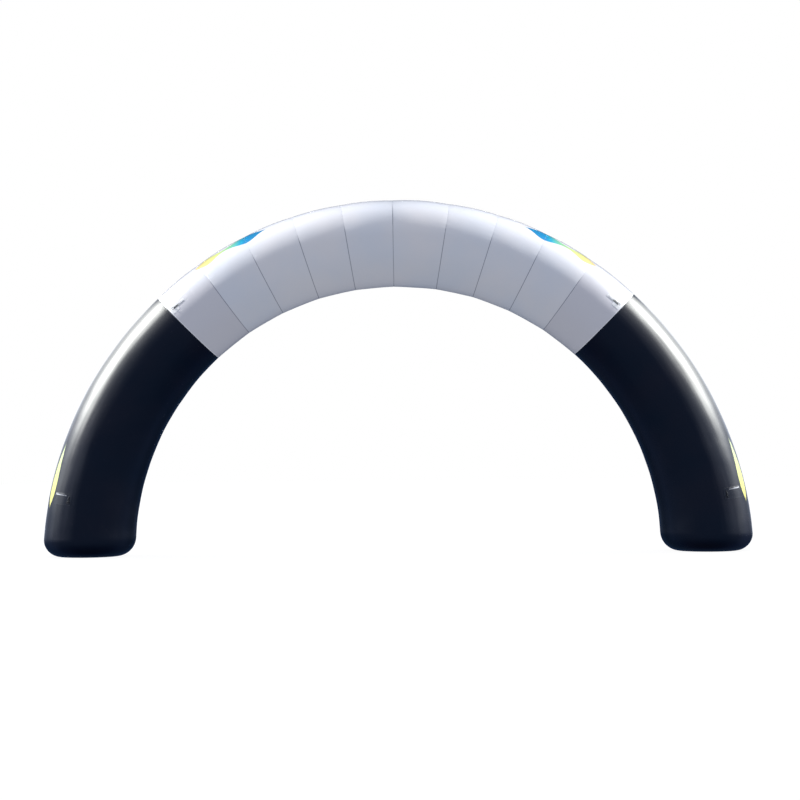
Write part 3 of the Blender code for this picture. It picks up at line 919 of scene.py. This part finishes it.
def stitchTree():
    # stitches stand along a path that runs on the cloth: round threads that dip in at both ends
    tree, given, out = newTree("stitch row", [
        ("Pitch", "NodeSocketFloat", 0.008), ("Length", "NodeSocketFloat", 0.0062),
        ("Thickness", "NodeSocketFloat", 0.0011), ("Thread", "NodeSocketMaterial", None)])
    curve = addNode(tree, "GeometryNodeMeshToCurve", {"Mesh": given["Geometry"]})
    spaced = addNode(tree, "GeometryNodeResampleCurve", {"Curve": curve.outputs[0],
                     "Length": given["Pitch"]}, mode="LENGTH")
    thread = addNode(tree, "GeometryNodeMeshUVSphere", {"Segments": 6, "Rings": 4, "Radius": 0.5})
    size = addNode(tree, "ShaderNodeCombineXYZ", {"X": given["Thickness"], "Y": given["Thickness"],
                   "Z": given["Length"]})
    tangent = addNode(tree, "GeometryNodeInputTangent")
    turned = addNode(tree, "FunctionNodeAlignRotationToVector", {"Vector": tangent.outputs[0]}, axis="Z")
    placed = addNode(tree, "GeometryNodeInstanceOnPoints", {"Points": spaced.outputs[0],
                     "Instance": thread.outputs["Mesh"], "Rotation": turned.outputs[0],
                     "Scale": size.outputs[0]})
    real = addNode(tree, "GeometryNodeRealizeInstances", {"Geometry": placed.outputs[0]})
    smooth = addNode(tree, "GeometryNodeSetShadeSmooth", {"Geometry": real.outputs[0]})
    painted = addNode(tree, "GeometryNodeSetMaterial", {"Geometry": smooth.outputs[0],
                      "Material": given["Thread"]})
    tree.links.new(painted.outputs[0], out.inputs[0])
    return tree


stitchRow = stitchTree()


def makeStitches(name, paths, thread, slot, closed=False, **sizes):
    points, edges = [], []
    for path in paths:
        start, count = len(points), len(path)
        points += [tuple(p) for p in path]
        edges += [(start + i, start + i + 1) for i in range(count - 1)]
        if closed:
            edges.append((start + count - 1, start))
    mesh = bpy.data.meshes.new(name)
    mesh.from_pydata(points, edges, [])
    piece = bpy.data.objects.new(name, mesh)
    bpy.context.scene.collection.objects.link(piece)
    throughTree(piece, stitchRow, {"Thread": materials[thread], **sizes})
    return hand(piece, slot)


def outlinePath(tie, side, face, inset, lift):
    # a path just inside a patch's outline
    start = min(block[0] for block in tie["blocks"]) + inset
    end = max(block[1] for block in tie["blocks"]) - inset
    shrunk = [(a + inset, b - inset, low + inset, high - inset) for a, b, low, high in tie["blocks"]]
    if len(shrunk) > 1:
        shrunk[0] = (shrunk[0][0], shrunk[1][0] + 0.004, *shrunk[0][2:])  # the two blocks overlap
    corner = patchForm["round"] - inset
    places = sorted({p for b in shrunk for p in ladder(b[0], b[1], 0.006, 6, corner)})
    edges = [(p, blockEdges(shrunk, p, corner)) for p in places if start <= p <= end]
    ring = [(p, e[0]) for p, e in edges] + [(p, e[1]) for p, e in reversed(edges)]
    return [tiePlace(tie, side, face, p, w, lift) for p, w in ring]


def makeTieDown(word, tie, side, face, tail):
    slotName, patchMaterial, thread = tie["cloth"]
    patch = makePatch(f"{word}_patch_{tail}_cloth", tie, side, face, materials[patchMaterial])
    hand(patch, slotName, f"{word}_patch_{tail}")
    low = min(b[2] for b in tie["blocks"])
    high = max(b[3] for b in tie["blocks"])
    start = min(b[0] for b in tie["blocks"])
    end = max(b[1] for b in tie["blocks"])
    area = sum((b[1] - b[0]) * (b[3] - b[2]) for b in tie["blocks"])
    top = patchForm["thick"] + patchForm["hemThick"]
    edge = outlinePath(tie, side, face, patchForm["stitchInset"], top)
    makeStitches(f"{word}_patch_stitches_{tail}", [edge], thread, slotName, closed=True)

    def place(along, across, lift):
        return tiePlace(tie, side, face, along, across, lift)

    strap = sweptBand(f"{word}_strap_{tail}_band", strapLine(tie), webbing["width"], place,
                      materials[tie["webbing"]])
    hand(strap, "dark_webbing", f"{word}_strap_{tail}")
    # a box with a cross, sewn behind the eye
    half = 0.5 * webbing["width"] - webbing["boxInset"]
    near, far = -webbing["boxNear"], -min(tie["strap"] - 0.004, webbing["boxFar"])
    box = [(near, -half), (near, half), (far, half), (far, -half), (near, -half), (far, half),
           (far, -half), (near, half)]
    lift = top + 2.0 * webbing["thick"] + 3.0 * clearance
    path = []
    for (a, b), (c, d) in zip(box, box[1:]):
        path += [place(a + (c - a) * i / 8, b + (d - b) * i / 8, lift) for i in range(8)]
    makeStitches(f"{word}_strap_stitches_{tail}", [path], "blackThread", "dark_webbing", **fineStitch)
    ring = makeRing(f"{word}_ring_{tail}_wire", tie, side, face, materials[tie["ring"]])
    hand(ring, "ring_steel", f"{word}_ring_{tail}")
    if word == "lower":
        (along, across), (alongEnd, acrossEnd) = tapeForm["ends"]

        def tapePlace(gone, width, up):
            share = gone / (acrossEnd - across)
            return place(along + (alongEnd - along) * share + width, across + gone,
                         top + clearance + 0.5 * webbing["thick"] + up)

        length = acrossEnd - across
        line = [(length * i / tapeForm["steps"], 0.0) for i in range(tapeForm["steps"] + 1)]
        tape = sweptBand(f"lower_tape_{tail}_band", line, tapeForm["width"], tapePlace,
                         materials["tapePaintedHighlight"])
        hand(tape, "pale_webbing", f"lower_tape_{tail}")
        edge = 0.5 * tapeForm["width"] - tapeForm["stitchInset"]
        start, steps = tapeForm["stitchEnd"], tapeForm["steps"]
        lift = 0.5 * webbing["thick"] + 0.0001
        paths = [[tapePlace(start + (length - 2.0 * start) * i / steps, w, lift) for i in range(steps + 1)]
                 for w in (-edge, edge)]
        makeStitches(f"lower_tape_stitches_{tail}", paths, "whiteThread", "pale_webbing", **fineStitch)


for word, tie in tieDowns.items():
    for sideWord, side in bothSides:
        for faceWord, face in (("front", 1), ("back", -1)):
            makeTieDown(word, tie, side, face, f"{faceWord}_{sideWord}")
print("tie-downs: 8")

for word, side in bothSides:
    # a loop of webbing pressed flat: down, round and back on itself
    length, bend = crownTab["length"], crownTab["bend"]
    low = 0.5 * webbing["thick"]
    flat = [(0.5 * length * (2.0 * i / 10 - 1.0), low) for i in range(11)]
    turned = [math.radians(angle) for angle in (-60.0, -30.0, 0.0, 30.0, 60.0)]
    loop = [(0.5 * length + bend * math.cos(t), low + bend + bend * math.sin(t)) for t in turned]
    fold = flat + loop + [(a, low + 2.0 * bend) for a, _ in reversed(flat)]

    def tabPlace(along, across, lift):
        return tiePlace(crownTab, side, 1, along, across, lift)

    band = sweptBand(f"crown_tab_{word}_band", fold, crownTab["width"], tabPlace, materials["blackWebbing"])
    hand(band, "dark_webbing", f"crown_tab_{word}")

for i, seam in enumerate(archForm["seams"]):
    # two rows, one on either side of the joint
    paths = []
    for off in (-seamSewing["off"], seamSewing["off"]):
        angle = seam + math.degrees(off / sum(tubeAt(seam)))
        turns = [360.0 * k / seamSewing["steps"] for k in range(seamSewing["steps"])]
        paths.append([onCloth(angle, turn, seamSewing["lift"]) for turn in turns])
    makeStitches(f"seam_{i + 1:02d}_stitches", paths, "whiteThread", "white_cloth", closed=True,
                 **seamStitch)
print("stitches done")


floorForm = {"half": 60.0, "colour": "#FFFFFF", "glow": 0.95, "albedo": 0.12}


def paintedFloor():
    # matt white paint that keeps its brightness, with only a trace of shadow under the feet
    half = floorForm["half"]
    corners = [(half * x, half * y, 0.0) for x, y in ((-1, -1), (1, -1), (1, 1), (-1, 1))]
    floor = newPiece("floor", corners, [(0, 1, 2, 3)])
    material = bpy.data.materials.new("matt_white_floor_paint")
    material.use_nodes = True
    tree = material.node_tree
    tree.nodes.clear()
    base = addNode(tree, "ShaderNodeBsdfDiffuse", {"Color": (*(floorForm["albedo"],) * 3, 1.0)})
    glow = addNode(tree, "ShaderNodeEmission", {"Color": linear(floorForm["colour"]),
                   "Strength": floorForm["glow"]})
    both = addNode(tree, "ShaderNodeAddShader", {0: base.outputs[0], 1: glow.outputs[0]})
    addNode(tree, "ShaderNodeOutputMaterial", {"Surface": both.outputs[0]})
    floor.data.materials.append(material)
    floor.visible_diffuse = False
    floor.visible_glossy = False
    floor.visible_shadow = False
    floor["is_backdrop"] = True


paintedFloor()

skyForm = {
    # radiance that the cloth's matt part sees
    "front": (0.508, 0.536, 0.600), "below": (0.425, 0.452, 0.512), "top": (0.45, 0.48, 0.56),
    # what the gloss mirrors: navy shade from straight down (0) to straight up (1)
    "shade": ((0.0, (0.0, 0.012, 0.07)), (0.12, (0.02, 0.05, 0.17)), (0.3, (0.065, 0.125, 0.30)),
              (0.5, (0.087, 0.15, 0.34)), (0.75, (0.11, 0.18, 0.40)), (1.0, (0.12, 0.20, 0.42))),
    "farShade": (0.02, 0.045, 0.11), "far": (0.2, 0.75),  # straight behind
    # far behind, the sky seen in the rims leans outwards: from, to, and by how many degrees
    "lean": (30.0, 85.0, 8.0),
    # bright sky behind each shoulder: its share by the angle behind the arch's plane
    "glow": ((-66, 0.0), (-52, 0.002), (-39, 0.012), (-31, 0.030), (-25, 0.053), (-19, 0.095), (-13, 0.22),
             (-7, 0.46), (0, 0.80), (7, 0.97), (14, 1.0), (23, 0.60), (34, 0.21), (45, 0.10), (56, 0.06),
             (70, 0.05), (90, 0.05)),
    # and by the angle from straight up
    "reach": ((0, 0.01), (38, 0.01), (43, 0.05), (46, 1.0), (51, 1.0), (56, 0.92), (62, 0.78), (66, 0.57),
              (70, 0.29), (74, 0.085), (79, 0.064), (84, 0.028), (88, 0.008), (92, 0.0)),
    "glowStrength": 24.5,
    "glowColour": (1.0, 1.01, 0.965),
    # thin haze all round over the horizon
    "haze": ((-59, 0.0), (-39, 0.20), (-25, 0.38), (-10, 0.48), (15, 0.47), (35, 0.38), (50, 0.30),
             (70, 0.32), (90, 0.32)),
    "hazeReach": ((0, 0.067), (36, 0.067), (42, 0.11), (46, 0.56), (60, 0.62), (66, 0.84), (70, 1.0),
                  (76, 0.78), (82, 0.56), (85, 0.45), (88, 0.32), (92, 0.14), (97, 0.05), (103, 0.01),
                  (108, 0.0)),
    "hazeColour": (1.8, 2.0, 2.5),
}


def shareRamp(tree, value, stops):
    # a curve through (angle, share) stops
    low, high = stops[0][0], stops[-1][0]
    at = sums(tree, "DIVIDE", sums(tree, "SUBTRACT", value, low), high - low)
    return colourRamp(tree, at, [((a - low) / (high - low), (share,) * 3) for a, share in stops])


def makeSky():
    # a matt sky for the cloth's own colour, another that the gloss mirrors, and plain white to look at
    world = bpy.data.worlds.new("overcast field")
    bpy.context.scene.world = world
    world.use_nodes = True
    tree = world.node_tree
    tree.nodes.clear()
    place = addNode(tree, "ShaderNodeTexCoord").outputs["Generated"]
    split = addNode(tree, "ShaderNodeSeparateXYZ", {"Vector": place})
    height = fade(tree, split.outputs["Z"], -1.0, 0.2)
    over = fade(tree, split.outputs["Z"], 0.3, 1.0)
    matt = blendColours(tree, height, (*skyForm["below"], 1.0), (*skyForm["front"], 1.0))
    matt = blendColours(tree, over, matt, (*skyForm["top"], 1.0))
    share = sums(tree, "MULTIPLY_ADD", split.outputs["Z"], 0.5, 0.5)
    shade = colourRamp(tree, share, skyForm["shade"])
    behind = sums(tree, "DEGREES", sums(tree, "ARCSINE", split.outputs["Y"]))
    sideways = sums(tree, "ABSOLUTE", split.outputs["X"])
    fromTop = sums(tree, "DEGREES", sums(tree, "ARCTAN2", sideways, split.outputs["Z"]))
    start, end, lean = skyForm["lean"]
    fromTop = sums(tree, "SUBTRACT", fromTop, fade(tree, behind, start, end, 0.0, lean))
    glow = sums(tree, "MULTIPLY", shareRamp(tree, behind, skyForm["glow"]),
                shareRamp(tree, fromTop, skyForm["reach"]))
    haze = sums(tree, "MULTIPLY", shareRamp(tree, behind, skyForm["haze"]),
                shareRamp(tree, fromTop, skyForm["hazeReach"]))
    glow = sums(tree, "MULTIPLY", glow, skyForm["glowStrength"])
    lit = [addNode(tree, "ShaderNodeVectorMath", {0: colour, "Scale": share}, operation="SCALE").outputs[0]
           for colour, share in ((skyForm["hazeColour"], haze), (skyForm["glowColour"], glow))]
    bright = addNode(tree, "ShaderNodeVectorMath", {0: lit[0], 1: lit[1]}, operation="ADD").outputs[0]
    far = fade(tree, split.outputs["Y"], *skyForm["far"])
    shade = blendColours(tree, far, shade, (*skyForm["farShade"], 1.0))
    gloss = addNode(tree, "ShaderNodeVectorMath", {0: shade, 1: bright}, operation="ADD").outputs[0]
    ray = addNode(tree, "ShaderNodeLightPath")
    seen = blendColours(tree, ray.outputs["Is Glossy Ray"], matt, gloss)
    seen = blendColours(tree, ray.outputs["Is Camera Ray"], seen, (1.0, 1.0, 1.0, 1.0))
    shader = addNode(tree, "ShaderNodeBackground", {"Color": seen, "Strength": 1.0})
    addNode(tree, "ShaderNodeOutputWorld", {"Surface": shader.outputs[0]})


makeSky()

# Suns behind the arch light the matt cloth alone, each shoulder by its own: the gloss mirrors the sky.
suns = {
    "back": {"toward": (0.0, 0.12, 0.993), "irradiance": 0.75, "wide": 8.0, "colour": "#FBFCFF"},
    "left": {"toward": (-0.868, 0.187, 0.462), "irradiance": 6.28, "wide": 4.0, "colour": "#FFFFFD"},
    "right": {"toward": (0.868, 0.187, 0.462), "irradiance": 6.28, "wide": 4.0, "colour": "#FFFFFD"},
}
halves = {word: bpy.data.collections.new(f"{word}_half") for word, _ in bothSides}
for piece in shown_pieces():
    middle = sum(corner[0] for corner in piece.bound_box) / 8.0
    halves["left" if middle < 0.0 else "right"].objects.link(piece)
for word, sun in suns.items():
    light = bpy.data.lights.new(f"sun_{word}", "SUN")
    light.energy = sun["irradiance"]
    light.angle = math.radians(sun["wide"])
    light.color = linear(sun["colour"])[:3]
    lamp = bpy.data.objects.new(f"sun_{word}", light)
    lamp.rotation_euler = Vector(sun["toward"]).to_track_quat("Z", "Y").to_euler()
    lamp.visible_glossy = False
    if word in halves:
        lamp.light_linking.receiver_collection = halves[word]
    bpy.context.scene.collection.objects.link(lamp)

shot = {"place": (0.0439, -25.9706, 1.4626), "pitch": 91.5538, "roll": -0.557, "lens": 82.48}
cameraData = bpy.data.cameras.new("camera")
cameraData.lens = shot["lens"]
cameraData.sensor_width = 36.0
cameraData.clip_end = 300.0
camera = bpy.data.objects.new("camera", cameraData)
pitch = Matrix.Rotation(math.radians(shot["pitch"]), 3, "X")
roll = Matrix.Rotation(math.radians(shot["roll"]), 3, "Z")
camera.location = shot["place"]
camera.rotation_euler = (pitch @ roll).to_euler()
bpy.context.scene.collection.objects.link(camera)
bpy.context.scene.camera = camera
bpy.context.scene.view_settings.view_transform = "Standard"
